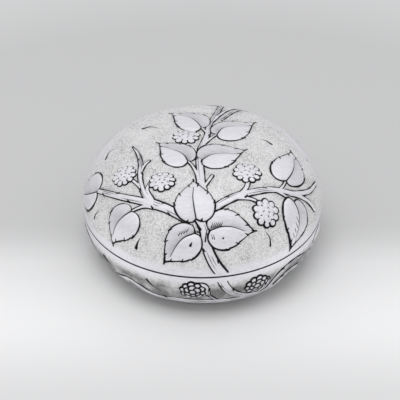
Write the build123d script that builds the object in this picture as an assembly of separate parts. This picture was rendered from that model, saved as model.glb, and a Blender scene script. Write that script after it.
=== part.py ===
from build123d import *
import math
import os

# A round box of sheet silver, shaped like a flattened bun and parted at its widest girth.
# Each half is one raised sheet with a flat wire ring soldered inside its mouth, and a thin
# upstanding bezel in the lower half guides the lid, which lifts straight off.
# The origin is the centre of the face the box stands on, with +Z up. Sizes are in millimetres.

# Driving sizes of the outside
girth_radius = 60.0        # half the width at the seam, the widest place
base_depth = 30.0          # from the face it stands on up to the seam
lid_height = 34.0          # from the seam up to the middle of the crown
band_height = 1.8          # the upright band that each half carries beside the seam
crown_radius = 236.0       # the shallow dome over the middle of the lid
foot_inset = 17.0          # how far the flat underside stops short of the girth
foot_turn_radius = 4.0     # the turn from the side of the base into its flat underside

# Driving sizes of the sheet, the rings and the bezel
sheet_thickness = 1.0      # both raised halves
seam_bevel = 0.22          # the eased outer corner of each mouth, which draws the seam line
ring_width = 2.2           # the flat ring inside the mouth of the base, across its flat
ring_height = 1.5          # both flat rings, along the axis
ring_easing = 0.3          # the eased inner corner of the lid's ring, where the bezel enters
bezel_thickness = 0.8
bezel_rise = 4.5           # how far the bezel stands above the seam
bezel_drop = 3.5           # how far it reaches below the seam, behind the ring
bezel_easing = 0.35        # the eased outer corner at the bezel's top
lid_clearance = 0.2        # between the bezel and the ring that slides down over it

# Places that follow from them
seam_height = base_depth
mouth_radius = girth_radius - sheet_thickness
bezel_radius = mouth_radius - ring_width
lid_ring_bore = bezel_radius + lid_clearance


def on_circle(centre, radius, angle):
    """The point of a circle at an angle in degrees, counted up from the outward radius."""
    turn = math.radians(angle)
    return (centre[0] + radius * math.cos(turn), centre[1] + radius * math.sin(turn))


def arc(centre, radius, first_angle, last_angle):
    """An arc in the section plane, through its own middle."""
    middle = (first_angle + last_angle) / 2
    return ThreePointArc(
        on_circle(centre, radius, first_angle),
        on_circle(centre, radius, middle),
        on_circle(centre, radius, last_angle),
    )


def turned(section):
    """The solid that a closed section sweeps in one turn round the box's axis."""
    face = Plane.XZ * make_face(section)
    return revolve(face, axis=Axis.Z)


def turned_ring(corners):
    """The solid of a ring from the corners of its straight-sided section."""
    return turned(Polyline(*corners, close=True).edges())


def lid_dome():
    """The upper half: an upright band, a round shoulder and a shallow crown, all tangent."""
    shoulder_level = seam_height + band_height
    rise = lid_height - band_height
    shoulder_radius = (2 * rise * crown_radius - girth_radius**2 - rise**2) / (
        2 * (crown_radius - girth_radius)
    )
    shoulder_centre = (girth_radius - shoulder_radius, shoulder_level)
    crown_centre = (0, seam_height + lid_height - crown_radius)
    meeting = math.degrees(
        math.acos(shoulder_centre[0] / (crown_radius - shoulder_radius))
    )
    inner_shoulder = shoulder_radius - sheet_thickness
    inner_crown = crown_radius - sheet_thickness
    section = [
        Line((mouth_radius, seam_height), (girth_radius - seam_bevel, seam_height)),
        Line((girth_radius - seam_bevel, seam_height), (girth_radius, seam_height + seam_bevel)),
        Line((girth_radius, seam_height + seam_bevel), (girth_radius, shoulder_level)),
        arc(shoulder_centre, shoulder_radius, 0, meeting),
        arc(crown_centre, crown_radius, meeting, 90),
        Line((0, crown_centre[1] + crown_radius), (0, crown_centre[1] + inner_crown)),
        arc(crown_centre, inner_crown, 90, meeting),
        arc(shoulder_centre, inner_shoulder, meeting, 0),
        Line((mouth_radius, shoulder_level), (mouth_radius, seam_height)),
    ]
    return turned(section)


def base_bowl():
    """The lower half: an upright band, a round side and a flat underside, all tangent."""
    side_level = seam_height - band_height
    drop = side_level - foot_turn_radius
    side_radius = (foot_inset**2 + drop**2 - foot_turn_radius**2) / (
        2 * (foot_inset - foot_turn_radius)
    )
    side_centre = (girth_radius - side_radius, side_level)
    foot_centre = (girth_radius - foot_inset, foot_turn_radius)
    meeting = -math.degrees(math.asin(drop / (side_radius - foot_turn_radius)))
    if foot_centre[0] < side_centre[0]:
        meeting = -180 - meeting
    inner_side = side_radius - sheet_thickness
    inner_foot = foot_turn_radius - sheet_thickness
    section = [
        Line((mouth_radius, seam_height), (girth_radius - seam_bevel, seam_height)),
        Line((girth_radius - seam_bevel, seam_height), (girth_radius, seam_height - seam_bevel)),
        Line((girth_radius, seam_height - seam_bevel), (girth_radius, side_level)),
        arc(side_centre, side_radius, 0, meeting),
        arc(foot_centre, foot_turn_radius, meeting, -90),
        Line((foot_centre[0], 0), (0, 0)),
        Line((0, 0), (0, sheet_thickness)),
        Line((0, sheet_thickness), (foot_centre[0], sheet_thickness)),
        arc(foot_centre, inner_foot, -90, meeting),
        arc(side_centre, inner_side, meeting, 0),
        Line((mouth_radius, side_level), (mouth_radius, seam_height)),
    ]
    return turned(section)


def lid_seat_ring():
    """The flat ring soldered in the lid's mouth. It rests on the base's ring when shut."""
    top = seam_height + ring_height
    return turned_ring([
        (lid_ring_bore + ring_easing, seam_height),
        (mouth_radius, seam_height),
        (mouth_radius, top),
        (lid_ring_bore, top),
        (lid_ring_bore, seam_height + ring_easing),
    ])


def base_seat_ring():
    """The flat ring soldered in the base's mouth, between the wall and the bezel."""
    bottom = seam_height - ring_height
    return turned_ring([
        (bezel_radius, bottom),
        (mouth_radius, bottom),
        (mouth_radius, seam_height),
        (bezel_radius, seam_height),
    ])


def bezel():
    """The thin upstanding band soldered inside the base's ring, eased at its top."""
    top = seam_height + bezel_rise
    bottom = seam_height - bezel_drop
    bore = bezel_radius - bezel_thickness
    return turned_ring([
        (bore, bottom),
        (bezel_radius, bottom),
        (bezel_radius, top - bezel_easing),
        (bezel_radius - bezel_easing, top),
        (bore, top),
    ])


os.makedirs("parts", exist_ok=True)
pieces = {
    "lid_dome": lid_dome(),
    "lid_seat_ring": lid_seat_ring(),
    "base_bowl": base_bowl(),
    "base_seat_ring": base_seat_ring(),
    "bezel": bezel(),
}
for name, piece in pieces.items():
    piece.label = name
    export_step(piece, f"parts/{name}.step")
    print(name, "volume", round(piece.volume), "cubic mm")
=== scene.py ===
import math

import bpy
import numpy as np
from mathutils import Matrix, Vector


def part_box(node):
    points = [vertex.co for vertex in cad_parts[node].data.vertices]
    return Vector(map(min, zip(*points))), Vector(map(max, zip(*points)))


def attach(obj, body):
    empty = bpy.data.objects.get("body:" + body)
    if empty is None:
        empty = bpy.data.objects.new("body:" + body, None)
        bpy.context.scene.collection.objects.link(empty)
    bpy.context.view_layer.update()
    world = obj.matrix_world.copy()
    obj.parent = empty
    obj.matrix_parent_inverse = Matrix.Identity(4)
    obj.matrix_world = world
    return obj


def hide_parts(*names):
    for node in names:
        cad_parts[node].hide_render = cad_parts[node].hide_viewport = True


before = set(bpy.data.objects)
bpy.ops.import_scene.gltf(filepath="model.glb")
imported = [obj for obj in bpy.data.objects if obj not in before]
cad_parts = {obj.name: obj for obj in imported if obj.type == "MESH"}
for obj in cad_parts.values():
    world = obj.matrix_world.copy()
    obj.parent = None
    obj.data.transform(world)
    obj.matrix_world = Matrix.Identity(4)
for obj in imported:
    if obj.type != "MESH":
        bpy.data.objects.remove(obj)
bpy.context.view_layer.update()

mm = 0.001

# The table that the box stands on: a sweep of paper whose grey is graded by place to paint the light on
# it, a pale pool just in front of the box that falls away to a mid grey behind it. It takes the box's
# shadow. Out of the picture it grows paler again all round, and the silver mirrors that as a pale line
# along its far edge.
table_reach = 3.0
sweep_from = 0.25
sweep_to = 0.60
sweep_grey = 0.8
table_painted_light = (
    (-0.104, 0.625), (-0.060, 0.757), (-0.013, 0.672), (0.0, 0.592), (0.014, 0.521), (0.039, 0.505),
)


def new_material(name):
    """An empty node material with its output; returns the material, its nodes and links."""
    material = bpy.data.materials.new(name)
    material.use_nodes = True
    nodes = material.node_tree.nodes
    nodes.clear()
    nodes.new("ShaderNodeOutputMaterial")
    return material, nodes, material.node_tree.links


def node(nodes, kind, inputs=None, **settings):
    """A new shader node with its own settings and its named or numbered inputs filled in."""
    made = nodes.new(kind)
    for key, value in settings.items():
        setattr(made, key, value)
    for socket, content in (inputs or {}).items():
        made.inputs[socket].default_value = content
    return made


def remap(nodes, low, high, to_low=0.0, to_high=1.0, **settings):
    """A node that maps values from low to high onto another range, clamped unless told not to be."""
    spans = {"From Min": low, "From Max": high, "To Min": to_low, "To Max": to_high}
    return node(nodes, "ShaderNodeMapRange", spans, **settings)


table_mesh = bpy.data.meshes.new("table")
table_mesh.from_pydata(
    [(x * table_reach, y * table_reach, 0) for x, y in ((-1, -1), (1, -1), (1, 1), (-1, 1))],
    [],
    [(0, 1, 2, 3)],
)
table = bpy.data.objects.new("table", table_mesh)
bpy.context.scene.collection.objects.link(table)
table_paper, nodes, links = new_material("table_paper")
place = node(nodes, "ShaderNodeTexCoord")
along = node(nodes, "ShaderNodeSeparateXYZ")
# These greys by place, from front to back, are light painted on the paper.
fade_from, fade_to = table_painted_light[0][0], table_painted_light[-1][0]
fade = remap(nodes, fade_from, fade_to)
painted_light_ramp = node(nodes, "ShaderNodeValToRGB")
painted_light_ramp.color_ramp.interpolation = "CARDINAL"
painted_light_ramp.color_ramp.elements[0].color = (table_painted_light[0][1],) * 3 + (1,)
painted_light_ramp.color_ramp.elements[1].color = (table_painted_light[-1][1],) * 3 + (1,)
for at, level in table_painted_light[1:-1]:
    stop = painted_light_ramp.color_ramp.elements.new((at - fade_from) / (fade_to - fade_from))
    stop.color = (level, level, level, 1)
far_off = node(nodes, "ShaderNodeVectorMath", operation="LENGTH")
sweep = remap(nodes, sweep_from, sweep_to)
paper = node(nodes, "ShaderNodeMix", {"B": (sweep_grey, sweep_grey, sweep_grey, 1)}, data_type="RGBA")
matt = node(nodes, "ShaderNodeBsdfPrincipled", {"Roughness": 0.9, "Specular IOR Level": 0.05})
links.new(place.outputs["Object"], along.inputs[0])
links.new(along.outputs["Y"], fade.inputs["Value"])
links.new(fade.outputs[0], painted_light_ramp.inputs[0])
links.new(place.outputs["Object"], far_off.inputs[0])
links.new(far_off.outputs["Value"], sweep.inputs["Value"])
links.new(sweep.outputs[0], paper.inputs["Factor"])
links.new(painted_light_ramp.outputs["Color"], paper.inputs["A"])
links.new(paper.outputs["Result"], matt.inputs["Base Color"])
links.new(matt.outputs[0], nodes["Material Output"].inputs["Surface"])
table_mesh.materials.append(table_paper)

# The light: a photographer's tent, whose cloth glows evenly and is paler overhead than at the
# table's edge. The silver mirrors it. A soft box above the front settles the shadow under the
# box; a polarising screen keeps its own glare out of the silver.
tent_low = 0.66
tent_high = 0.95
tent_tint = (0.98, 0.985, 1.0, 1)
world = bpy.data.worlds.new("tent")
bpy.context.scene.world = world
world.use_nodes = True
nodes, links = world.node_tree.nodes, world.node_tree.links
nodes.clear()
way = node(nodes, "ShaderNodeTexCoord")
height = node(nodes, "ShaderNodeSeparateXYZ")
cloth = remap(nodes, 0.05, 0.95, tent_low, tent_high)
glow = node(nodes, "ShaderNodeBackground", {"Color": tent_tint})
tent = node(nodes, "ShaderNodeOutputWorld")
links.new(way.outputs["Generated"], height.inputs[0])
links.new(height.outputs["Z"], cloth.inputs["Value"])
links.new(cloth.outputs[0], glow.inputs["Strength"])
links.new(glow.outputs[0], tent.inputs["Surface"])

soft_box = bpy.data.lights.new("soft_box", "AREA")
soft_box.shape = "SQUARE"
soft_box.size = 0.8
soft_box.energy = 9.0
soft_box_holder = bpy.data.objects.new("soft_box", soft_box)
bpy.context.scene.collection.objects.link(soft_box_holder)
soft_box_place = Vector((-0.12, -0.45, 1.45))
soft_box_holder.location = soft_box_place
soft_box_holder.rotation_euler = (-soft_box_place).to_track_quat("-Z", "Y").to_euler()
soft_box_holder.visible_glossy = False

# The camera stands eight girth radii from the middle of the seam and looks down on it
# by the angle that the ellipse of the seam gives.
lid_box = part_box("lid_dome")
girth_radius = lid_box[1].x / mm
seam_height = lid_box[0].z / mm
camera_distance = 8 * girth_radius
camera_elevation = math.radians(36.8)
camera = bpy.data.cameras.new("camera")
camera.lens = 85.4
camera.sensor_width = 36.0
camera.shift_x = -0.006
camera.shift_y = -0.003
camera.clip_start = 0.01
camera_holder = bpy.data.objects.new("camera", camera)
bpy.context.scene.collection.objects.link(camera_holder)
look_from = Vector((0, -math.cos(camera_elevation), math.sin(camera_elevation))) * camera_distance
camera_holder.location = (look_from + Vector((0, 0, seam_height))) * mm
camera_holder.rotation_euler = (-look_from).to_track_quat("-Z", "Y").to_euler()
bpy.context.scene.camera = camera_holder
bpy.context.scene.view_settings.view_transform = "Standard"

# The lid: one sheet of silver, raised to a band, a round shoulder and a shallow crown, then
# worked up from behind and chased from the front. Places on it are given unrolled, in mm:
# the distance along the sheet from the middle of the crown, laid out flat to the right and back.
sheet_thickness = 1.0
band_height = 1.8
crown_radius = 236.0
mouth_easing = 0.22
lid_height = lid_box[1].z / mm - seam_height
points_per_mm = 10
points_per_degree = 0.175    # for each mm of an arc's radius
no_length = 1e-9
no_step = 1e-6


def arc_points(centre, radius, first, last):
    """Points a tenth of a mm apart along an arc, its angles in degrees up from the outward radius."""
    count = 2 + int(abs(last - first) * radius * points_per_degree)
    turn = np.radians(np.linspace(first, last, count))
    return np.column_stack([centre[0] + radius * np.cos(turn), centre[1] + radius * np.sin(turn)])


def unrolled(section):
    """A sheet from its half section, axis to mouth: radius, height and normal by distance along it."""
    section = np.asarray(section, float)
    steps = np.hypot(*np.diff(section, axis=0).T)
    section = section[np.concatenate([[True], steps > no_step])]
    along = np.concatenate([[0], np.cumsum(steps[steps > no_step])])
    fine = np.linspace(0, along[-1], int(along[-1] * points_per_mm))
    radius = np.interp(fine, along, section[:, 0])
    height = np.interp(fine, along, section[:, 1])
    across, up = np.gradient(radius, fine), np.gradient(height, fine)
    length = np.hypot(across, up)
    outward = 1 if section[0, 1] > section[-1, 1] else -1
    return {
        "along": fine, "radius": radius, "height": height,
        "out_radius": -outward * up / length, "out_height": outward * across / length,
    }


def on_sheet(sheet, places, lift=0.0):
    """Where unrolled places lie on a sheet, in mm, lifted off it along its own normal."""
    along = np.hypot(places[:, 0], places[:, 1])
    facing = places / np.maximum(along, no_length)[:, None]
    radius = np.interp(along, sheet["along"], sheet["radius"])
    radius = radius + lift * np.interp(along, sheet["along"], sheet["out_radius"])
    height = np.interp(along, sheet["along"], sheet["height"])
    height = height + lift * np.interp(along, sheet["along"], sheet["out_height"])
    return np.column_stack([facing * radius[:, None], height])


shoulder_level = seam_height + band_height
rise = lid_height - band_height
shoulder_radius = (2 * rise * crown_radius - girth_radius**2 - rise**2) / (
    2 * (crown_radius - girth_radius)
)
shoulder_centre = (girth_radius - shoulder_radius, shoulder_level)
crown_centre = (0, seam_height + lid_height - crown_radius)
crown_meets = math.degrees(math.acos(shoulder_centre[0] / (crown_radius - shoulder_radius)))


def lid_section(depth, mouth):
    """The lid's half section from the crown's middle to the mouth, at a depth in the sheet."""
    return np.vstack([
        arc_points(crown_centre, crown_radius - depth, 90, crown_meets),
        arc_points(shoulder_centre, shoulder_radius - depth, crown_meets, 0),
        [(girth_radius - depth, mouth)],
    ])


def smooth_path(knots, steps=8):
    """A smooth line through a few knots; each knot may carry more numbers than its place."""
    knots = np.asarray(knots, float)
    run = np.vstack([2 * knots[0] - knots[1], knots, 2 * knots[-1] - knots[-2]])
    share = np.linspace(0, 1, steps, endpoint=False)[:, None]
    pieces = []
    for before, start, end, after in zip(run[:-3], run[1:-2], run[2:-1], run[3:]):
        pieces.append(0.5 * (
            2 * start + (end - before) * share
            + (2 * before - 5 * start + 4 * end - after) * share**2
            + (3 * start - before - 3 * end + after) * share**3
        ))
    return np.vstack(pieces + [knots[-1:]])


points_at_once = 4000
no_area = 1e-12


def distance_to(points, path):
    """The distance from each point to a line, and how far along the line it is met, 0 to 1."""
    start, run = path[:-1], np.diff(path, axis=0)
    square = np.maximum((run**2).sum(1), no_area)
    best = np.zeros(len(points))
    met = np.zeros(len(points))
    for first in range(0, len(points), points_at_once):
        chunk = slice(first, first + points_at_once)
        some = points[chunk]
        offset = some[:, None] - start[None]
        share = np.clip((offset * run).sum(2) / square, 0, 1)
        gap = ((offset - share[..., None] * run) ** 2).sum(2)
        nearest = gap.argmin(1)
        rows = np.arange(len(some))
        best[chunk] = np.sqrt(gap[rows, nearest])
        met[chunk] = (nearest + share[rows, nearest]) / len(run)
    return best, met


def within(places, outline):
    """True for the places inside a closed outline."""
    inside = np.zeros(len(places), bool)
    for (x1, y1), (x2, y2) in zip(outline, np.roll(outline, -1, axis=0)):
        spans = (y1 > places[:, 1]) != (y2 > places[:, 1])
        crossing = x1 + (places[:, 1] - y1) / ((y2 - y1) or no_area) * (x2 - x1)
        inside ^= spans & (places[:, 0] < crossing)
    return inside


# A leaf's half outline from its notch to its tip, in shares of its length and half width; its
# saw teeth, their depth and their nicks; and where along it the midrib's offsets are given.
leaf_half_outline = (
    (0.0, 0.0), (-0.055, 0.22), (-0.045, 0.5), (0.07, 0.83), (0.27, 1.0),
    (0.48, 0.91), (0.68, 0.60), (0.86, 0.22), (1.0, 0.0),
)
leaf_outline_steps = 10
leaf_teeth = 4.6
first_tooth = 1.4
tooth_depth = 0.55
tooth_inset = 0.2
nick_back = 0.085
nick_in = 0.25
tip_nick = ((1.04, 0.3), (0.92, 0))
rib_stations = (0.25, 0.5, 0.76)


def leaf(base, tip, left, right, bend, rib=(0, 0, 0), fold=1.0, lift=0.0, ink=1.0):
    """A bramble leaf from its notch to its tip, by its half widths to the left and right.

    Bend bows its middle, rib gives the midrib's offsets, fold is how far the left side sinks and how much
    shade is painted on it, or the right side if it's below 0, lift raises all of it, and ink widens its
    outline."""
    base, tip = np.array(base, float), np.array(tip, float)
    length = math.hypot(*(tip - base))
    forward = (tip - base) / length
    side = np.array([-forward[1], forward[0]])

    def spot(x, y):
        return base + forward * x * length + side * (y + bend * 4 * x * (1 - x))

    halves, marks = [], []
    for reach in (left, -right):
        half = []
        outward = math.copysign(1, reach)
        shape = smooth_path(leaf_half_outline, leaf_outline_steps)
        for index, (x, y) in enumerate(shape):
            share = (x * leaf_teeth) % 1
            toothed = min(1, y * 2) * (x > first_tooth / leaf_teeth)
            half.append(spot(x, y * reach + outward * toothed * (tooth_depth * share - tooth_inset)))
            steps_in = index + 1 < len(shape) and (shape[index + 1, 0] * leaf_teeth) % 1 < share
            if toothed and steps_in and y > 0.1:
                nick = spot(x - nick_back, (y * abs(reach) - nick_in) * outward)
                marks.append(np.array([half[-1], nick]))
        halves.append(half)
    marks.append(np.array([spot(x, y) for x, y in tip_nick]))
    centre = smooth_path([(0, 0), *zip(rib_stations, rib)])
    midrib = np.array([base + forward * x * length + side * y for x, y in centre])
    return {"kind": "leaf", "outline": np.array(halves[0] + halves[1][-2:0:-1]), "rib": midrib,
            "marks": marks, "fold": side * fold, "lift": lift, "ink": ink}


bark_from_width = 1.35
bark_lines = ((0.06, 0.46, 0.42), (0.40, 0.93, -0.38), (0.55, 0.85, 0.2))
bark_notches = ((0.24, 1), (0.45, -1), (0.72, 1))
notch_length = 1.3
notch_depth = 0.7


def stem(*knots):
    """A stem along knots of right, back and half width in mm. A thick one has bark on it: lines
    from and to a share of its length, offset by a share of its half width, and notches."""
    path = smooth_path(knots)
    run = np.gradient(path[:, :2], axis=0)
    run = run / np.maximum(np.hypot(*run.T), no_length)[:, None]
    side = np.column_stack([-run[:, 1], run[:, 0]])
    bark, notches = [], []
    if path[:, 2].max() > bark_from_width:
        for first, last, offset in bark_lines:
            part = slice(int(first * len(path)), int(last * len(path)))
            bark.append(path[part, :2] + side[part] * path[part, 2:] * offset)
        for share, way in bark_notches:
            at = int(share * len(path))
            edge = path[at, :2] + side[at] * way * path[at, 2]
            notches.append(np.array([edge, edge + run[at] * notch_length - side[at] * way * notch_depth]))
    return {"kind": "stem", "path": path, "bark": bark, "marks": notches}


# The rings of a berry: the ring's radius and a drupelet's, in shares of the berry's size, and for
# the inner ones also how many there are and by what share of a step the first is turned.
outer_drupelets = (0.79, 0.22)
inner_drupelets = ((0.42, 6, 0.235, 0.3), (0.0, 1, 0.24, 0))
# How dark each ring's outlines are: a plain weight, and an extra weight towards one side of the berry,
# which is painted shade.
outer_weight = (0.55, 0.45)
inner_weight = (0.2, 0.25)
drupelet_swing = 0.12
drupelet_bold = 0.18
fully_bold = 0.6
loose_ticks = 7
tick_turn = 2.4
tick_slant = 1.7
tick_length = 0.8
tick_from = 0.15
tick_spread = 0.075


def berry(centre, size, turn=0.0, count=11, bold=0.0, shade_from=-50, edge=1.0):
    """A berry: a ring of drupelets round its edge, a smaller ring within and one in the middle.

    Bold is how dark the inner drupelets are outlined all over. On the others the drupelets grow and their
    outlines darken towards one side, at an angle in degrees, the darker outlines being painted shade on
    that side, and a few loose ticks are cut inside. Edge widens the line round the outer ring."""
    seats, ticks = [], []
    rings = ((outer_drupelets[0], count, outer_drupelets[1], 0.0), *inner_drupelets)
    for ring, number, radius, start in rings:
        for step in range(number):
            angle = turn + math.tau * (step + start) / number
            wobble = math.sin(5 * angle + centre[1])
            shade_side = max(0.0, math.cos(angle - math.radians(shade_from)))
            plain_weight, shade_weight = outer_weight if ring == outer_drupelets[0] else inner_weight
            weight = max(bold, plain_weight + shade_weight * shade_side)
            swing = drupelet_swing * wobble + drupelet_swing * shade_side + drupelet_bold * bold
            seats.append((
                centre[0] + size * ring * math.cos(angle),
                centre[1] + size * ring * math.sin(angle),
                size * radius * (1 + swing),
                weight,
            ))
    for step in range(0 if bold > fully_bold else loose_ticks):
        angle = turn + tick_turn * step
        reach = size * (tick_from + tick_spread * step)
        spot = np.array([centre[0] + reach * math.cos(angle), centre[1] + reach * math.sin(angle)])
        slant = angle * tick_slant + centre[0]
        ticks.append(np.array([spot, spot + tick_length * np.array([math.cos(slant), math.sin(slant)])]))
    return {"kind": "berry", "centre": np.array(centre, float), "size": size, "seats": np.array(seats),
            "marks": ticks, "edge": edge}


def stroke(*knots, wide=1.0):
    """One short free cut of the tracer through knots in mm, thin at first and wide at its end."""
    return {"kind": "stroke", "path": smooth_path(knots, 6), "wide": wide}


def ease(value, low, high):
    """Runs smoothly from 0 at low to 1 at high."""
    share = np.clip((value - low) / (high - low), 0, 1)
    return share * share * (3 - 2 * share)


# How deep the lines are cut and how high the work is raised, in mm, and how it is rounded.
line_depth = 0.32
leaf_rise = 0.85
leaf_swell = 2.5
fold_width = 3.4
crease_width = 0.8
# How dark the shade painted on a leaf's folded side is; fold_width also sets how far it reaches from the
# midrib.
fold_painted_shade = 0.85
stem_rise = 0.65
full_stem = 1.6
stem_roundness = 0.6
bark_width = 0.26
berry_rise = 0.75
berry_body = 0.8
bead_rise = 0.27
nowhere_near = 9.0
# The way, on the unrolled sheet, towards which leaf outlines are drawn wider: painted shade on the front
# side of the work.
shaded_outline_side = np.array([-0.15, -0.99])

# How far off, in mm, each kind of work can still reach a place.
stem_margin = 5.0
mark_margin = 1.5
stroke_margin = 2.0
berry_margin = 3.0
leaf_margin = 3.0

# The tarnish beside each kind of work, how wide it lies and how far it creeps in over the edge.
stem_tarnish = 0.3
berry_tarnish = 0.1
leaf_tarnish = 0.2
tarnish_width = 1.5
berry_tarnish_width = 1.4
tarnish_creep = 0.2

# How dark the finer lines are against a full one.
stem_line = 0.97
bark_line = 0.72
rib_line = 0.95
tick_line = 0.8


def near(points, path, margin):
    """The numbers of the points that lie in a line's box, widened by a margin."""
    low, high = path.min(0) - margin, path.max(0) + margin
    return np.flatnonzero((points >= low).all(1) & (points <= high).all(1))


def cut(done, where, gap, width, weight):
    """Cuts a traced line, darkest at its middle, from the distance of each place to it."""
    done["line"][where] = np.minimum(done["line"][where], gap)
    done["dark"][where] = np.maximum(done["dark"][where], weight * np.exp(-(gap / width) ** 2))


def cover(done, where, covered, height):
    """Raises the covered places to a height, burnishes them and wipes what lay under them."""
    hidden = where[covered]
    done["push"][hidden] = height[covered]
    done["dark"][hidden] = 0
    done["tarnish"][hidden] = 0
    done["line"][hidden] = nowhere_near
    done["bright"][hidden] = 1


def settled(strength, depth, width):
    """The tarnish that settles beside raised work, by how deep inside the work a place is."""
    return strength * np.exp(-(np.minimum(depth, 0) / width) ** 2)


def chase_stems(done, sheet, stems, points, fading):
    """Raises the stems, which run into each other, and traces the outline round them all."""
    inside = np.full(len(points), -nowhere_near)
    thick = np.zeros(len(points))
    height = np.zeros(len(points))
    line_width = sheet["line_width"]
    for item in stems:
        path = on_sheet(sheet, item["path"][:, :2])
        where = near(points, path, stem_margin)
        gap, met = distance_to(points[where], path)
        half = np.interp(met * (len(path) - 1), np.arange(len(path)), item["path"][:, 2])
        thick[where] = np.where(half - gap > inside[where], half, thick[where])
        inside[where] = np.maximum(inside[where], half - gap)
        dome = np.clip(1 - (gap / half) ** 2, 0, 1) ** stem_roundness * np.minimum(1, half / full_stem)
        height[where] = np.maximum(height[where], stem_rise * dome)
    done["push"] = height * fading
    done["bright"] = np.maximum(done["bright"], ease(inside, 0.0, 0.3))
    swing = 0.95 + 0.25 * np.sin(points[:, 0] * 0.55 + points[:, 1] * 0.8)
    swing = swing + sheet["bold_stems"] * np.clip(thick - full_stem, 0, 1)
    cut(done, slice(None), np.abs(inside), line_width * swing, stem_line * fading)
    for item in stems:
        for bark in item["bark"]:
            path = on_sheet(sheet, bark)
            where = near(points, path, mark_margin)
            gap, met = distance_to(points[where], path)
            taper = np.sin(np.pi * np.clip(met, 0, 1)) ** 0.5
            cut(done, where, gap, bark_width, bark_line * taper * fading[where])
        for mark in item["marks"]:
            path = on_sheet(sheet, mark)
            where = near(points, path, mark_margin)
            gap, met = distance_to(points[where], path)
            cut(done, where, gap, line_width * (1.7 - 1.0 * met), fading[where])
    beside = settled(stem_tarnish, inside, tarnish_width) * (inside < tarnish_creep)
    done["tarnish"] = beside * fading


def chase_stroke(done, sheet, item, points):
    """Cuts one free stroke, which widens and darkens towards its end."""
    path = on_sheet(sheet, item["path"])
    where = near(points, path, stroke_margin)
    gap, met = distance_to(points[where], path)
    width = sheet["line_width"] * (0.5 + (item["wide"] - 0.2) * met)
    cut(done, where, gap, width, 0.7 + 0.3 * met)


def chase_berry(done, sheet, item, points):
    """Raises a berry as one cushion with a bead for each drupelet, and outlines each bead."""
    size, line_width = item["size"], sheet["line_width"]
    centre = on_sheet(sheet, item["centre"][None])[0]
    where = near(points, centre[None], size + berry_margin)
    middle = np.linalg.norm(points[where] - centre, axis=1)
    seats = on_sheet(sheet, item["seats"][:, :2])
    gaps = np.linalg.norm(points[where][:, None] - seats[None], axis=2)
    core = size * berry_body - middle
    union = np.maximum((item["seats"][:, 2] - gaps).max(1), core)
    beside = settled(berry_tarnish, union, berry_tarnish_width) * (union < tarnish_creep)
    done["tarnish"][where] = np.maximum(done["tarnish"][where], beside)
    body = berry_rise * np.clip(1 - 0.75 * (middle / size) ** 2, 0, 1)
    cover(done, where, union > 0, body)
    cut(done, where, np.abs(union), line_width * 0.8 * item["edge"], 1.0)
    for gap, (_, _, radius, weight) in zip(gaps.T, item["seats"]):
        bead = np.sqrt(np.clip(1 - (gap / radius) ** 2, 0, 1))
        cover(done, where, gap < radius, body + bead_rise * bead * (0.45 + 0.55 * weight))
        outer = core < -0.25
        width = line_width * (0.35 + 0.65 * weight)
        width = width * np.where(outer | (weight > 0.9), item["edge"], 1.0)
        cut(done, where, np.abs(gap - radius), width, np.where(outer, 1.0, weight))
    for mark in item["marks"]:
        gap, met = distance_to(points[where], on_sheet(sheet, mark))
        cut(done, where, gap, line_width * (1.1 - 0.6 * met), tick_line)


def chase_leaf(done, sheet, item, places, points):
    """Raises a leaf as a cushion that sinks to its midrib, more on its folded side, where shade is also
    painted beside the midrib, and traces it with an outline painted wider towards the front as shade.
    """
    line_width = sheet["line_width"]
    ring = np.vstack([item["outline"], item["outline"][:1]])
    path = on_sheet(sheet, ring)
    where = near(points, path, leaf_margin)
    gap, met = distance_to(points[where], path)
    deep = np.where(within(places[where], item["outline"]), gap, -gap)
    covered = deep > 0
    rib_gap, rib_met = distance_to(points[where], on_sheet(sheet, item["rib"]))
    last = len(item["rib"]) - 1
    index = np.clip((rib_met * last).round().astype(int), 0, last)
    aside = ((places[where] - item["rib"][index]) * item["fold"]).sum(1)
    swell = 1 - np.exp(-np.maximum(deep, 0) / leaf_swell)
    crease = np.exp(-(rib_gap / crease_width) ** 2) * 0.7
    shaded = np.where(aside > 0, np.exp(-(rib_gap / fold_width)), crease)
    shaded = shaded * (1 - 0.45 * rib_met) * np.hypot(*item["fold"])
    beside = settled(leaf_tarnish, deep, tarnish_width)
    done["tarnish"][where] = np.maximum(done["tarnish"][where], beside)
    pillow = leaf_rise * swell * (1 - 0.62 * shaded) + item["lift"] * ease(deep, 0, 0.5)
    cover(done, where, covered, pillow)
    # Painted shade: the folded side is darkened beside the midrib, on top of the sinking of its cushion.
    done["tarnish"][where[covered]] = fold_painted_shade * (shaded * (aside > 0))[covered]
    swing = 1 + 0.20 * np.sin(met * 23 + ring[0, 0]) + 0.14 * np.sin(met * 61 + ring[0, 1])
    outward = places[where] - item["outline"].mean(0)
    # Painted shade: the outline widens towards the front side.
    swing = swing + 0.32 * (outward @ shaded_outline_side) / np.maximum(np.hypot(*outward.T), no_length)
    cut(done, where, gap, line_width * swing * item["ink"], 1.0)
    rib_width = line_width * (1.1 - 0.65 * rib_met[covered])
    cut(done, where[covered], rib_gap[covered], rib_width, rib_line)
    for mark in item["marks"]:
        mark_gap, mark_met = distance_to(points[where], on_sheet(sheet, mark))
        cut(done, where, mark_gap, line_width * (1.45 - 0.9 * mark_met), 1.0)


# Where one kind of surface runs into the next, in mm round the place that a sheet gives or in
# mm from its mouth; and how far round to the back the shoulder is rubbed, 1 being straight back.
band_blend = (-0.9, 1.1)
foot_blend = (-1, 2)
stems_blend = (-0.6, 0.9)
rub_fades = (25, 38)
rub_begins = (-0.25, 0.5)
# Where the shade painted low on the base begins, in mm from its mouth.
low_begins = (3.2, 9.0)


def blend(value, at, span):
    """Runs smoothly from 0 to 1 over a span that is given round a place."""
    return ease(value, at + span[0], at + span[1])


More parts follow.
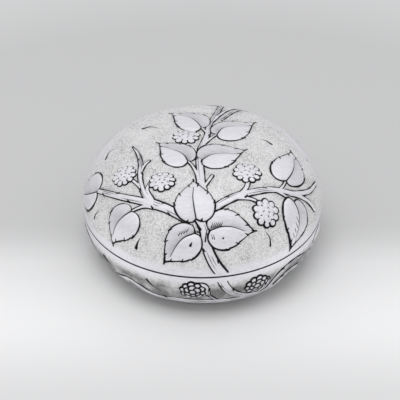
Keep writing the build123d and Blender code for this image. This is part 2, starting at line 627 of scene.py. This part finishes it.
def worked(sheet, ornament, places):
    """What raising and chasing do at each unrolled place of a sheet.

    Gives by place how far the sheet is pushed up, how dark a cut line is, how bright the silver
    is burnished, how far tarnish has settled beside the work together with the shade painted in
    the leaves' folds and low down on the sheet, and the distance to a line. The shoulder behind
    is rubbed by hands, which polishes it past what burnishing gives. A sheet says how wide its
    plain band is, where its stems end short of the mouth and its plain foot begins, how rubbed it
    is, how wide its lines are and how much bolder on thick stems, and how much shade is painted
    low on it, darkening it towards the foot."""
    points = on_sheet(sheet, places)
    along = np.hypot(places[:, 0], places[:, 1])
    to_mouth = sheet["along"][-1] - along
    plain = 1 - blend(to_mouth, sheet["plain_band"], band_blend)
    foot = blend(along, sheet["plain_foot"], foot_blend)
    behind = ease(places[:, 1] / np.maximum(along, no_length), *rub_begins)
    rubbed_smooth = behind * (1 - ease(to_mouth, *rub_fades)) * sheet["rubbed"]
    done = {
        "push": np.zeros(len(places)), "dark": np.zeros(len(places)),
        "bright": np.maximum(np.maximum(plain, rubbed_smooth), 1 - foot),
        "tarnish": np.zeros(len(places)), "line": np.full(len(places), nowhere_near),
    }
    fading = blend(to_mouth, sheet["stems_end"], stems_blend)
    stems = [item for item in ornament if item["kind"] == "stem"]
    chase_stems(done, sheet, stems, points, fading)
    for item in ornament:
        if item["kind"] == "stroke":
            chase_stroke(done, sheet, item, points)
        elif item["kind"] == "berry":
            chase_berry(done, sheet, item, points)
        elif item["kind"] == "leaf":
            chase_leaf(done, sheet, item, places, points)
    done["push"] *= foot
    done["dark"] *= foot
    done["bright"] = done["bright"] + rubbed_smooth
    # Painted shade: the sheet is darkened low down towards its foot, less on the raised work, for the
    # shadowed table that it mirrors there.
    off_the_work = 1 - 0.55 * np.clip(done["push"] / 0.4, 0, 1)
    low = sheet["low_tarnish"] * ease(to_mouth, *low_begins) * off_the_work
    done["tarnish"] = np.maximum(done["tarnish"], low)
    return done


lid_ornament = [
    stem((-8, -50, 2.0), (-16, -44.7, 2.1), (-21, -42, 2.2), (-25, -39.5, 2.0)),
    stem((-24, -40.6, 1.9), (-37, -34, 1.6), (-46.5, -27.6, 1.35), (-54, -21.3, 1.1)),
    stem((-23.4, -40.5, 1.6), (-27, -35, 1.4), (-28.8, -28, 1.2), (-29.3, -21, 1.2),
         (-29.3, -15, 1.1), (-31, -6.7, 0.9), (-34, 0, 0.3)),
    stem((-29, -21, 0.8), (-27.4, -16, 0.8), (-25.4, -13, 0.7)),
    stem((-28.5, -31.5, 0.8), (-30.5, -28.5, 0.8), (-34, -24, 0.8)),
    stem((-23, -39, 0.9), (-25.7, -33, 0.9), (-24.5, -29.5, 0.9)),
    stem((-22.5, -43, 0.9), (-27.5, -41.3, 0.9), (-33.5, -41.8, 0.7)),
    stem((0.6, -35, 1.7), (-0.2, -30.8, 1.7), (-0.8, -24, 1.8), (-1.3, -15, 1.8), (-0.9, -7, 1.7),
         (0.3, -1.2, 1.5), (2.3, 6.9, 1.4), (3.3, 15.9, 1.3), (5.6, 24.7, 1.2), (8.6, 35, 1.3),
         (10, 46, 1.5), (9, 60, 1.8), (4, 74, 2.0), (2, 78, 2.0)),
    stem((-0.4, -35.5, 0.9), (1.6, -31.6, 0.9), (4.6, -25.6, 0.8)),
    stem((-1.8, -30, 0.9), (-2.5, -24.6, 0.9), (-4.6, -18.7, 0.8), (-6.8, -15, 0.7)),
    stem((2, 2.3, 0.9), (2, 8.8, 0.8), (-0.4, 14.5, 0.7)),
    stem((1.3, -0.4, 0.9), (4.2, 4.2, 0.8), (7.2, 8.0, 0.7)),
    stem((5.4, 21.3, 0.9), (9.5, 29.7, 0.9), (16, 39, 0.9), (26, 48, 1.0), (38, 53, 0.9), (47, 52, 0.6)),
    stem((9.9, 22.7, 0.5), (15.2, 31.6, 0.6), (21, 39.8, 0.7), (30, 45, 0.6)),
    stem((9.5, 44, 1.2), (0, 52, 1.3), (-12, 56, 1.2), (-24, 53, 1.1), (-36, 50, 0.7)),
    stem((-10, 55.5, 0.8), (-15, 59, 0.8), (-20, 62, 0.7)),
    stem((9, 57, 0.9), (17, 60, 0.9), (25, 60, 0.7)),
    stem((4.5, -46, 1.8), (10.8, -41.2, 1.9), (17.3, -37.3, 1.9), (24.4, -34.2, 1.7),
         (31.7, -31.3, 1.5), (38.5, -29.8, 1.4)),
    stem((17.6, -36.6, 1.1), (20.1, -32.9, 1.1), (21.2, -29, 1.1)),
    stem((16, -39, 1.0), (22, -38.5, 0.9), (26.6, -39.6, 0.8)),
    stem((36, -30.3, 0.8), (38.4, -27, 0.7), (39.8, -23.4, 0.7)),
    stem((35.3, -31.1, 0.9), (40.3, -32, 0.8), (45, -33, 0.7)),
    stem((38.3, -30, 1.3), (46, -27.8, 1.3), (55, -21, 1.25), (61, -10.5, 1.0)),
    stem((42.5, -29.8, 1.0), (51, -27.6, 1.1), (56.5, -27, 1.2), (62, -27, 1.2)),
    stem((-1.6, -50, 2.0), (1, -55.9, 2.1), (2, -62, 2.2), (4.3, -67.5, 2.4), (7.5, -72.3, 2.6),
         (11.6, -76.6, 2.8)),
    stroke((-21.7, 15.5), (-25.8, 17.8), (-30, 16.6), wide=1.9),
    stroke((28.8, 6), (31.3, 5.1), (33.9, 2.5), wide=1.6),
    stroke((-43.4, 3.5), (-46.7, 1.8), (-48.4, -2.9), wide=1.6),
    stroke((-54.7, -32.8), (-58.3, -32.6), (-60.5, -33.5), wide=1.6),
    stroke((-31.7, -55.4), (-34, -57.3), (-35.7, -59.4), wide=2.5),
    stroke((31.8, -52.5), (34.8, -54.7), (36.4, -58.2), wide=1.3),
    stroke((53.8, 3.7), (55, 1.8)),
    stroke((-52, 38), (-49, 41), (-45, 43)),
    stroke((52, 34), (54, 30), (55, 25)),
    berry((-37.3, -20.9), 6.1, 0.3, 11),
    berry((-18.7, -28.7), 6.2, 0.1, edge=1.2),
    berry((-8, 6.0), 6.6, 0.2, 10, 0.45),
    berry((20.9, -22.5), 6.7, 0.0, 11, edge=1.25),
    berry((30.5, -43.7), 6.8, 0.5, 10, edge=1.7),
    berry((-23, 65), 6.4, 0.4, 10),
    berry((30, 61), 6.4, 0.9, 10),
    leaf((-36, 50), (-56, 44), 8.5, 9.5, 0.8, (1.2, 1.0, -0.5), -1),
    leaf((46, 52), (60, 40), 8.5, 8.5, 0.8, (1.2, 1.0, -0.5), 1),
    leaf((-2, 58), (-9, 76), 7.0, 7, -1.2, (-1.5, -1.0, 0.5), -1),
    leaf((-34.3, -41.8), (-51.6, -52.5), 11, 8.4, -1.5, (-1.6, -2.2, -1.4), -1),
    leaf((-54, -22), (-72, -8.5), 9.5, 10.3, 0, (1.0, 1.0, 0), -0.8, ink=1.3),
    leaf((45.4, -32.5), (51.8, -55.3), 10, 8.8, 1.3, (2.6, 2.9, 1.5), 0.8, ink=1.6),
    leaf((40.2, -23.2), (44, 0.2), 10.4, 8, -1.9, (-1.8, -2.4, -1.6), -0.9, ink=1.15),
    leaf((-0.5, 14.6), (-16.2, 31.6), 9.6, 8.6, -1.9, (-1.9, -2.6, -0.6), -1),
    leaf((7.2, 8.0), (26.5, 22.2), 8.2, 10.3, 0.7, (2.8, 1.2, -2.0), 1),
    leaf((-6.8, -14.8), (-21.5, 1.5), 9.7, 7.5, -1.4, (-1.7, -1.0, 0.8), -1.35),
    leaf((-0.1, -13.8), (20.7, -5), 9.6, 9.6, 0.4, (1.6, 0.4, -2.0), 1.35),
    leaf((-3.8, -56.8), (-21.2, -69.3), 9.4, 8.6, -0.4, (-1.6, -1.2, 0.4), -1, ink=1.2),
    leaf((3.6, -55.6), (25.6, -53.5), 9, 9.9, 0.8, (1.4, 1.2, -0.4), 0.9, ink=1.15),
    leaf((-2.9, -50.5), (-4, -28.9), 9.1, 9.7, 0.7, (0.6, 0.9, 0.3), 0.5, 0.25),
    stroke((-6.5, -50.5), (-7.0, -51.5), wide=1.8),
    stroke((0.1, -50.1), (-0.3, -50.9), wide=1.6),
    stroke((-5.0, -60.6), (-5.9, -62.2), wide=1.9),
    *[stroke((-6.4 - 1.3 * step, -54.6 - 0.4 * step), (-7.6 - 1.3 * step, -56.2 - 0.4 * step), wide=0.5)
      for step in range(4)],
    stroke((9.8, -58.2), (10.0, -58.7), wide=1.4),
    *[stroke((4.9 + 0.9 * step, -52.2 + 0.1 * step), (4.1 + 0.9 * step, -54.6 + 0.25 * step), wide=0.6)
      for step in range(6)],
    *[stroke((47.6 + 0.4 * step, -39.5 - 2.6 * step), (50.6 - 0.1 * step, -41.2 - 2.6 * step), wide=0.4)
      for step in range(5)],
    *[stroke((4.2 + 0.9 * step, -57.4), (5.0 + 0.9 * step, -59.4), wide=0.4) for step in range(2)],
    stroke((-2.9, -51.6), (-1.6, -53.9), (-0.9, -55.2), wide=1.5),
    stroke((-4.6, -52.6), (-3.9, -54.6), (-3.4, -56.4), wide=1.0),
    stroke((2.6, -54.6), (1.8, -57.0), (1.4, -60.6), wide=0.9),
    stroke((-0.9, -57.1), (-2.4, -56.2)),
]


def disc(rings, reach):
    """Even triangles over a disc: ring after ring, six more places on each."""
    sixths = 6
    places = [(0.0, 0.0)]
    triangles = []
    for ring in range(1, rings + 1):
        count = sixths * ring
        first = len(places)
        inner_count = max(sixths * (ring - 1), 1)
        inner_first = first - inner_count
        radius = reach * ring / rings
        for step in range(count):
            angle = math.tau * step / count
            places.append((radius * math.cos(angle), radius * math.sin(angle)))
        for sixth in range(sixths):
            for step in range(ring):
                outer = sixth * ring + step
                inner = sixth * (ring - 1) + step
                here, ahead = first + outer, first + (outer + 1) % count
                below = inner_first + inner % inner_count
                triangles.append((below, here, ahead))
                if step < ring - 1:
                    triangles.append((below, ahead, inner_first + (inner + 1) % inner_count))
    return np.array(places), np.array(triangles)


def split_edges(places, triangles, points, wanted):
    """Halves every edge that is longer than wanted at its middle, and the triangles beside it."""
    sides = np.vstack([triangles[:, [0, 1]], triangles[:, [1, 2]], triangles[:, [2, 0]]])
    edges, which = np.unique(np.sort(sides, axis=1), axis=0, return_inverse=True)
    which = which.reshape(3, -1).T
    middles = (places[edges[:, 0]] + places[edges[:, 1]]) / 2
    lengths = np.linalg.norm(points[edges[:, 0]] - points[edges[:, 1]], axis=1)
    long = lengths > wanted(middles)
    number = np.full(len(edges), -1)
    number[long] = len(places) + np.arange(long.sum())
    places = np.vstack([places, middles[long]])
    made = []
    new = number[which]
    kinds = (new >= 0) @ np.array([1, 2, 4])
    for kind in range(8):
        rows = np.flatnonzero(kinds == kind)
        if not len(rows):
            continue
        a, b, c = triangles[rows].T
        ab, bc, ca = new[rows].T
        if kind == 0:
            made += [(a, b, c)]
        elif kind == 7:
            made += [(a, ab, ca), (ab, b, bc), (ca, bc, c), (ab, bc, ca)]
        elif kind in (1, 2, 4):
            one, two, three, mid = {1: (a, b, c, ab), 2: (b, c, a, bc), 4: (c, a, b, ca)}[kind]
            made += [(one, mid, three), (mid, two, three)]
        else:
            turned = {3: (a, b, c, ab, bc), 6: (b, c, a, bc, ca), 5: (c, a, b, ca, ab)}[kind]
            one, two, three, first_mid, second_mid = turned
            made += [(first_mid, two, second_mid), (one, first_mid, second_mid), (one, second_mid, three)]
    return places, np.vstack([np.column_stack(part) for part in made])


def stitch(first, second, first_angles, second_angles):
    """Triangles between two closed rings of vertices, both sorted by their angle."""
    made = []
    past_every_angle = math.tau
    i = j = 0
    while i < len(first) or j < len(second):
        next_first = first_angles[i] if i < len(first) else past_every_angle
        next_second = second_angles[j] if j < len(second) else past_every_angle
        if next_first <= next_second:
            made.append((first[i - 1], second[j - 1], first[i]))
            i += 1
        else:
            made.append((first[i - 1], second[j - 1], second[j]))
            j += 1
    return np.array(made)


# How long the mesh's edges are, in mm: fine beside a line, longer by a share of the distance to
# it, and coarse on the open ground. The mouth counts as a line that lies a little way off.
coarse_edge = 1.9
fine_edge = 0.30
fine_within = 0.4
edge_growth = 0.42
edge_scale = 1.42
beside_mouth = 0.3
on_the_mouth = 1.0
split_rounds = 4
inner_edge = 1.7
inner_plain = 2.0
inner_rise = 0.85
rim_slack = 0.02
# How far the painted shade of the seam's gap reaches in from the mouth, in mm.
seam_shade = 0.27


def fine_places(sheet, ornament):
    """Places and triangles over the outside of a sheet, finest beside its lines and its mouth."""
    reach = sheet["along"][-1]
    places, triangles = disc(int(reach / coarse_edge), reach)

    def wanted(middles):
        line = worked(sheet, ornament, middles)["line"]
        away = reach - np.hypot(*middles.T)
        line = np.minimum(line, np.where(away > rim_slack, away + beside_mouth, on_the_mouth))
        edge = np.clip(fine_edge + edge_growth * (line - fine_within), fine_edge, coarse_edge)
        return edge * edge_scale

    for _ in range(split_rounds):
        places, triangles = split_edges(places, triangles, on_sheet(sheet, places), wanted)
        along = np.hypot(*places.T)
        rim = np.flatnonzero(along > reach - rim_slack)
        places[rim] *= (reach / along[rim])[:, None]
    return places, triangles, rim


def by_angle(ring, spots):
    """The vertices of a ring in the order of their angles, and those angles."""
    angles = np.arctan2(spots[ring, 1], spots[ring, 0])
    order = np.argsort(angles)
    return ring[order], angles[order]


def raised_half(name, sheet, inner_sheet, lip, ornament):
    """One half of the box as a closed mesh: the worked outside, the mouth and the inside."""
    reach = sheet["along"][-1]
    places, triangles, rim = fine_places(sheet, ornament)
    done = worked(sheet, ornament, places)
    done["push"][rim] = 0
    outside = on_sheet(sheet, places, done["push"] - line_depth * done["dark"])
    to_mouth = reach - np.hypot(*places.T)
    # Painted shade: the outside is darkened at its mouth for the shade in the seam's gap.
    done["dark"] = np.maximum(done["dark"], np.exp(-(to_mouth / seam_shade) ** 2))

    inner_reach = inner_sheet["along"][-1]
    inner_places, inner_triangles = disc(int(inner_reach / inner_edge), inner_reach)
    inner_along = np.hypot(*inner_places.T)
    inner_push = worked(sheet, ornament, inner_places * reach / inner_reach)["push"]
    inner_push[inner_along > inner_reach - inner_plain] = 0
    inside = on_sheet(inner_sheet, inner_places, inner_push * inner_rise)
    inner_rim = np.flatnonzero(inner_along > inner_reach - rim_slack)

    rim, rim_angles = by_angle(rim, places)
    inner_rim, inner_angles = by_angle(inner_rim, inner_places)
    facing = np.column_stack([np.cos(rim_angles), np.sin(rim_angles)])
    vertices, faces = [outside], [triangles]
    total = len(outside)
    ring = rim
    for radius, height in lip:
        vertices.append(np.column_stack([facing * radius, np.full(len(rim), height)]))
        following = total + np.arange(len(rim))
        ahead, next_ahead = np.roll(ring, -1), np.roll(following, -1)
        faces.append(np.column_stack([ring, following, ahead]))
        faces.append(np.column_stack([ahead, following, next_ahead]))
        ring = following
        total += len(rim)
    vertices.append(inside)
    faces.append(inner_triangles[:, ::-1] + total)
    faces.append(stitch(ring, inner_rim + total, rim_angles, inner_angles))
    corners, every = np.vstack(vertices), np.vstack(faces)
    if sheet["height"][0] < sheet["height"][-1]:
        every = every[:, ::-1]
    mesh = bpy.data.meshes.new(name)
    mesh.from_pydata((corners * mm).tolist(), [], every.tolist())
    mesh.polygons.foreach_set("use_smooth", np.ones(len(mesh.polygons), bool))

    # The eased corner of the mouth is painted fully dark, as the shade inside the seam's gap.
    painted_gap_shade = np.ones(len(rim))
    worked_looks = {
        "line_dark": (np.concatenate([done["dark"], painted_gap_shade]), 0.0),
        "burnished": (done["bright"], 1.0),
        "tarnish": (done["tarnish"], 0.0),
    }
    for label, (values, elsewhere) in worked_looks.items():
        filled = np.full(len(corners), elsewhere)
        filled[:len(values)] = values
        attribute = mesh.attributes.new(label, "FLOAT", "POINT")
        attribute.data.foreach_set("value", filled.astype(np.float32))
    piece = bpy.data.objects.new(name, mesh)
    bpy.context.scene.collection.objects.link(piece)
    return piece


# The look that years of rubbing leave on every silver surface here: soft smears in the gloss.
rubbed = bpy.data.node_groups.new("rubbed_silver", "ShaderNodeTree")
rubbed.interface.new_socket("Smear size mm", in_out="INPUT", socket_type="NodeSocketFloat")
rubbed.interface.new_socket("Roughness", in_out="INPUT", socket_type="NodeSocketFloat")
rubbed.interface.new_socket("Roughness", in_out="OUTPUT", socket_type="NodeSocketFloat")
smear_swing = (-0.07, 0.09)
group_in = rubbed.nodes.new("NodeGroupInput")
group_out = rubbed.nodes.new("NodeGroupOutput")
rub_spot = node(rubbed.nodes, "ShaderNodeTexCoord")
rub_scale = node(rubbed.nodes, "ShaderNodeMath", {0: 1 / mm}, operation="DIVIDE")
rub_noise = node(rubbed.nodes, "ShaderNodeTexNoise", {"Detail": 4.0, "Roughness": 0.6})
rub_swing = remap(rubbed.nodes, 0.3, 0.7, *smear_swing)
rub_sum = node(rubbed.nodes, "ShaderNodeMath", operation="ADD")
rubbed.links.new(group_in.outputs["Smear size mm"], rub_scale.inputs[1])
rubbed.links.new(rub_scale.outputs[0], rub_noise.inputs["Scale"])
rubbed.links.new(rub_spot.outputs["Object"], rub_noise.inputs["Vector"])
rubbed.links.new(rub_noise.outputs[0], rub_swing.inputs["Value"])
rubbed.links.new(rub_swing.outputs[0], rub_sum.inputs[0])
rubbed.links.new(group_in.outputs["Roughness"], rub_sum.inputs[1])
rubbed.links.new(rub_sum.outputs[0], group_out.inputs["Roughness"])

# Chased silver: burnished where it is raised or plain, punched all over with a matting tool
# where it is ground, with tarnish left beside the work and blackened traced lines. The same
# tarnish tint also paints shade on the leaves' folded sides and low on the base, and the line
# darkening also paints the shade in the seam's gap and on the outlines' front sides.
silver_tint = (0.925, 0.922, 0.96, 1)
streak_tint = (0.83, 0.825, 0.865, 1)
ground_tint = (0.94, 0.935, 0.935, 1)
pit_tint = (0.13, 0.13, 0.13, 1)
# This tint darkens both the real tarnish and the painted shade.
tarnish_and_shade_tint = (0.33, 0.33, 0.33, 1)
line_tint = (0.012, 0.012, 0.014, 1)
burnished_roughness = 0.34
ground_roughness = 0.52
grain_size = 0.62
speck_size = 0.8
cloud_size = 8.0
hammer_mark = 4.0
streak_size = 1.6

chased_silver, nodes, links = new_material("chased_silver")
shader = node(nodes, "ShaderNodeBsdfPrincipled", {"Metallic": 1.0})
line_dark = node(nodes, "ShaderNodeAttribute", attribute_name="line_dark")
burnished = node(nodes, "ShaderNodeAttribute", attribute_name="burnished")
tarnish = node(nodes, "ShaderNodeAttribute", attribute_name="tarnish")
spot = node(nodes, "ShaderNodeTexCoord")
punched = node(nodes, "ShaderNodeTexVoronoi", {"Scale": 1 / (grain_size * mm)}, feature="F1")
specks = node(nodes, "ShaderNodeTexNoise", {
    "Scale": 1 / (speck_size * mm), "Detail": 2.0, "Roughness": 0.7})
clouds = node(nodes, "ShaderNodeTexNoise", {
    "Scale": 1 / (cloud_size * mm), "Detail": 4.0, "Roughness": 0.6})
hammer = node(nodes, "ShaderNodeTexNoise", {"Scale": 1 / (hammer_mark * mm), "Detail": 3.0})
handled = node(nodes, "ShaderNodeGroup", node_tree=rubbed)
handled.inputs["Smear size mm"].default_value = 6.0
speck = remap(nodes, 0.42, 0.62)
cloud = remap(nodes, 0.3, 0.68, 0.25, 1.0)
pit = remap(nodes, 0.12, 0.38, 1.0, 0.5)
pitted = node(nodes, "ShaderNodeMath", operation="MULTIPLY")
speck_cloud = node(nodes, "ShaderNodeMath", operation="MULTIPLY")
unworked = node(nodes, "ShaderNodeMath", {0: 1.0}, operation="SUBTRACT", use_clamp=True)
ground_colour = node(nodes, "ShaderNodeMix", {"A": ground_tint, "B": pit_tint}, data_type="RGBA")
streaked = node(nodes, "ShaderNodeMix", {"A": silver_tint, "B": streak_tint}, data_type="RGBA")
streaks = node(nodes, "ShaderNodeTexNoise", {
    "Scale": 1 / (streak_size * mm), "Detail": 3.0, "Roughness": 0.65})
streak_way = node(nodes, "ShaderNodeMapping", {"Rotation": (0, 0, 0.5), "Scale": (0.35, 1.6, 1)})
streak = remap(nodes, 0.38, 0.66)
metal_colour = node(nodes, "ShaderNodeMix", data_type="RGBA")
tarnished_and_shaded = node(nodes, "ShaderNodeMix", {"B": tarnish_and_shade_tint}, data_type="RGBA", blend_type="MULTIPLY")
clouded = node(nodes, "ShaderNodeMath", operation="MULTIPLY")
lined = node(nodes, "ShaderNodeMix", {"B": line_tint}, data_type="RGBA")
line_sharp = remap(nodes, 0.25, 0.72, interpolation_type="SMOOTHSTEP")
base_rough = remap(nodes, 0.0, 1.0, ground_roughness, burnished_roughness, clamp=False)
grain_height = node(nodes, "ShaderNodeMath", operation="MULTIPLY")
grain_bump = node(nodes, "ShaderNodeBump", {"Strength": 0.55, "Distance": 0.10 * mm})
hammer_bump = node(nodes, "ShaderNodeBump", {"Strength": 0.6, "Distance": 0.25 * mm})
for texture in (punched, specks, clouds, hammer):
    links.new(spot.outputs["Object"], texture.inputs["Vector"])
links.new(spot.outputs["Object"], streak_way.inputs["Vector"])
links.new(streak_way.outputs[0], streaks.inputs["Vector"])
links.new(streaks.outputs[0], streak.inputs["Value"])
links.new(streak.outputs[0], streaked.inputs["Factor"])
links.new(streaked.outputs["Result"], metal_colour.inputs["A"])
links.new(specks.outputs[0], speck.inputs["Value"])
links.new(clouds.outputs[0], cloud.inputs["Value"])
links.new(speck.outputs[0], speck_cloud.inputs[0])
links.new(cloud.outputs[0], speck_cloud.inputs[1])
links.new(punched.outputs["Distance"], pit.inputs["Value"])
links.new(speck_cloud.outputs[0], pitted.inputs[0])
links.new(pit.outputs[0], pitted.inputs[1])
links.new(pitted.outputs[0], ground_colour.inputs["Factor"])
links.new(burnished.outputs["Fac"], unworked.inputs[1])
links.new(unworked.outputs[0], metal_colour.inputs["Factor"])
links.new(ground_colour.outputs["Result"], metal_colour.inputs["B"])
links.new(tarnish.outputs["Fac"], clouded.inputs[0])
links.new(cloud.outputs[0], clouded.inputs[1])
links.new(clouded.outputs[0], tarnished_and_shaded.inputs["Factor"])
links.new(metal_colour.outputs["Result"], tarnished_and_shaded.inputs["A"])
links.new(line_dark.outputs["Fac"], line_sharp.inputs["Value"])
links.new(line_sharp.outputs[0], lined.inputs["Factor"])
links.new(tarnished_and_shaded.outputs["Result"], lined.inputs["A"])
links.new(lined.outputs["Result"], shader.inputs["Base Color"])
links.new(burnished.outputs["Fac"], base_rough.inputs["Value"])
links.new(base_rough.outputs[0], handled.inputs["Roughness"])
links.new(handled.outputs["Roughness"], shader.inputs["Roughness"])
links.new(punched.outputs["Distance"], grain_height.inputs[0])
links.new(unworked.outputs[0], grain_height.inputs[1])
links.new(grain_height.outputs[0], grain_bump.inputs["Height"])
links.new(hammer.outputs[0], hammer_bump.inputs["Height"])
links.new(hammer_bump.outputs["Normal"], grain_bump.inputs["Normal"])
links.new(grain_bump.outputs["Normal"], shader.inputs["Normal"])
links.new(shader.outputs[0], nodes["Material Output"].inputs["Surface"])

# The outside ends at the eased corner of the mouth, and the inside a hair past the shoulder,
# from where the upright band runs straight down to the mouth.
hair = 0.01
lid_sheet = unrolled(lid_section(0, seam_height + mouth_easing))
lid_sheet.update(plain_band=5.0, stems_end=1.4, plain_foot=-5.0, rubbed=1.0, line_width=0.36,
                 low_tarnish=0.0, bold_stems=0.6)
lid_lip = ((girth_radius - mouth_easing, seam_height), (girth_radius - sheet_thickness, seam_height))
lid_inner = unrolled(lid_section(sheet_thickness, shoulder_level - hair))
lid_dome = raised_half("lid_dome_chased", lid_sheet, lid_inner, lid_lip, lid_ornament)
lid_dome.data.materials.append(chased_silver)
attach(lid_dome, "lid")
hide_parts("lid_dome")

# The base: the lower sheet, raised the same way, with a round side that turns in to the flat
# it stands on. Its ornament is set out by the distance round the girth from the front, to the
# right, and by the depth below the seam along the sheet, both in mm.
foot_inset = 17.0
foot_turn_radius = 4.0
side_level = seam_height - band_height
side_drop = side_level - foot_turn_radius
side_radius = (foot_inset**2 + side_drop**2 - foot_turn_radius**2) / (
    2 * (foot_inset - foot_turn_radius)
)
side_centre = (girth_radius - side_radius, side_level)
foot_radius = girth_radius - foot_inset
side_meets = -math.degrees(math.asin(side_drop / (side_radius - foot_turn_radius)))


def base_section(depth, mouth):
    """The base's half section from the middle of the underside to the mouth."""
    return np.vstack([
        [(0, depth), (foot_radius, depth)],
        arc_points((foot_radius, foot_turn_radius), foot_turn_radius - depth, -90, side_meets),
        arc_points(side_centre, side_radius - depth, side_meets, 0),
        [(girth_radius - depth, mouth)],
    ])


# The base's sheet is painted darker low down towards its foot, as shade for the shadowed table that it
# mirrors there.
base_sheet = unrolled(base_section(0, seam_height - mouth_easing))
base_sheet.update(plain_band=3.4, stems_end=2.6, plain_foot=foot_radius + foot_turn_radius, rubbed=0.0,
                  line_width=0.40, low_tarnish=1.35, bold_stems=-0.3)
base_reach = base_sheet["along"][-1]


def on_side(path):
    """Places round and below the seam, as unrolled places of the base's sheet."""
    path = np.array(path, float)
    turn = path[:, 0] / girth_radius - math.pi / 2
    along = base_reach - path[:, 1]
    path[:, 0], path[:, 1] = along * np.cos(turn), along * np.sin(turn)
    return path


rib_middle = 4


def set_round(item, at):
    """An item of the base's ornament, shifted round the girth and laid on its sheet."""
    shift = np.array([at, 0.0])
    laid = dict(item)
    for key in ("path", "outline", "rib"):
        if key in item:
            moved = item[key].copy()
            moved[:, :2] += shift
            laid[key] = on_side(moved)
    for key in ("marks", "bark"):
        if key in item:
            laid[key] = [on_side(part + shift) for part in item[key]]
    if "centre" in item:
        laid["centre"] = on_side([item["centre"] + shift])[0]
        seats = item["seats"].copy()
        seats[:, 0] += at
        laid["seats"] = on_side(seats)
    if "fold" in item:
        folded = item["rib"][rib_middle] + shift + item["fold"]
        laid["fold"] = on_side([folded])[0] - laid["rib"][rib_middle]
    return laid


base_spray = [
    stem((-47.5, 14.8, 0.4), (-44, 14.2, 1.0), (-38.5, 13, 2.0), (-33, 15.5, 2.3),
         (-28.5, 18.6, 2.1), (-22, 20.2, 2.1), (-14, 19.4, 2.5), (-5, 19.7, 2.7), (5, 20, 2.6),
         (14, 20.6, 2.3), (24, 21.5, 1.9), (32, 21.5, 1.8), (37, 18, 1.7)),
    stem((8.2, 0, 2.0), (9.2, 2.8, 2.1), (11.3, 7.5, 2.1), (13.6, 11, 2.1), (17, 14.4, 2.0),
         (21.3, 17.4, 1.9), (28, 20, 1.8)),
    stem((35.3, 20, 1.6), (37, 13, 1.4), (40.2, 8.4, 1.3), (45.5, 6.0, 1.2), (52, 6.0, 1.0),
         (57.5, 7.2, 0.4)),
    stem((38.5, 22, 1.6), (42.2, 15.8, 1.6), (46, 11.8, 1.5), (53, 12.2, 1.4)),
    stem((-3.2, 3.4, 0.6), (0.6, 4.8, 1.4), (2.0, 8.6, 1.5), (3.2, 12.6, 0.9), (7, 18, 0.8)),
    stem((32.6, 7.8, 0.7), (33.4, 11.5, 1.1), (31.0, 16.5, 1.1), (29, 20, 0.9)),
    stroke((-49.5, 9.9), (-52.4, 8.6), (-54.8, 7.0), wide=3.0),
    stroke((-20.8, 12.4), (-23.3, 11.0), (-25.4, 9.0), (-27.0, 6.5), wide=1.7),
    *[stroke((-31.5 + 1.5 * step, 12.4 + 0.7 * step), (-29.8 + 1.5 * step, 14.6 + 0.5 * step), wide=0.6)
      for step in range(6)],
    stroke((-19, 22.8), (-29, 19.4), (-38, 13.5), wide=1.3),
    stroke((-16, 25.4), (-27, 22.0), (-36, 17.5), wide=1.5),
    stroke((20, 23.8), (6, 24.6), (-9, 24.2), (-22, 23.6), wide=1.5),
    stroke((24, 26.6), (8, 27.6), (-10, 27.0), (-24, 25.8), wide=1.5),
    berry((-4.6, 8.9), 5.8, 0.2, 10, 1.0, edge=1.35),
    berry((26.6, 10.0), 5.8, 0.5, 10, 1.0, edge=1.35),
]
base_leaves = [
    leaf((70, 10), (87, 5.5), 7.0, 7.0, 1.0, (1.2, 0.9, -0.5), 1),
    leaf((66, 11), (78, 24), 7.0, 7.5, -1.0, (-1.2, -0.9, 0.5), -1),
    leaf((-37, 15), (-50, 27), 7.5, 7.5, -1.0, (-1.2, -0.9, 0.5), -1),
    leaf((12, 23), (-6, 28), 5.0, 5.0, -0.6, (-1.0, -0.8, 0.4), -1),
]
sprays = 3
spray_width = math.tau * girth_radius / sprays
base_ornament = [set_round(item, turn * spray_width) for turn in range(sprays) for item in base_spray]
base_ornament += [set_round(item, turn * spray_width) for turn in (1, 2) for item in base_leaves[2:]]
base_ornament += [set_round(item, turn * spray_width) for turn in (0, 1) for item in base_leaves[:2]]
base_lip = ((girth_radius - mouth_easing, seam_height), (girth_radius - sheet_thickness, seam_height))
base_inner = unrolled(base_section(sheet_thickness, side_level + hair))
base_bowl = raised_half("base_bowl_chased", base_sheet, base_inner, base_lip, base_ornament)
base_bowl.data.materials.append(chased_silver)
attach(base_bowl, "base")
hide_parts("base_bowl")

# The rings in both mouths and the bezel: flat wire of silver, bent round, soldered in and
# turned smooth. Rubbing round and round leaves them finely brushed along the ring.
plain_tint = (0.90, 0.90, 0.92, 1)
plain_roughness = 0.27
brush_length = 8.0
brush_stretch = 60
plain_silver, nodes, links = new_material("plain_silver")
shader = node(nodes, "ShaderNodeBsdfPrincipled", {"Metallic": 1.0, "Base Color": plain_tint})
spot = node(nodes, "ShaderNodeTexCoord")
stretch = node(nodes, "ShaderNodeMapping", {"Scale": (1, 1, brush_stretch)})
brushed = node(nodes, "ShaderNodeTexNoise", {"Scale": 1 / (brush_length * mm), "Detail": 4.0})
handled = node(nodes, "ShaderNodeGroup", node_tree=rubbed)
handled.inputs["Smear size mm"].default_value = 10.0
handled.inputs["Roughness"].default_value = plain_roughness
brush_bump = node(nodes, "ShaderNodeBump", {"Strength": 0.25, "Distance": 0.03 * mm})
links.new(spot.outputs["Object"], stretch.inputs["Vector"])
links.new(stretch.outputs[0], brushed.inputs["Vector"])
links.new(brushed.outputs[0], brush_bump.inputs["Height"])
links.new(brush_bump.outputs["Normal"], shader.inputs["Normal"])
links.new(handled.outputs["Roughness"], shader.inputs["Roughness"])
links.new(shader.outputs[0], nodes["Material Output"].inputs["Surface"])
for name in ("lid_seat_ring", "base_seat_ring", "bezel"):
    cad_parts[name].data.materials.clear()
    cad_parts[name].data.materials.append(plain_silver)
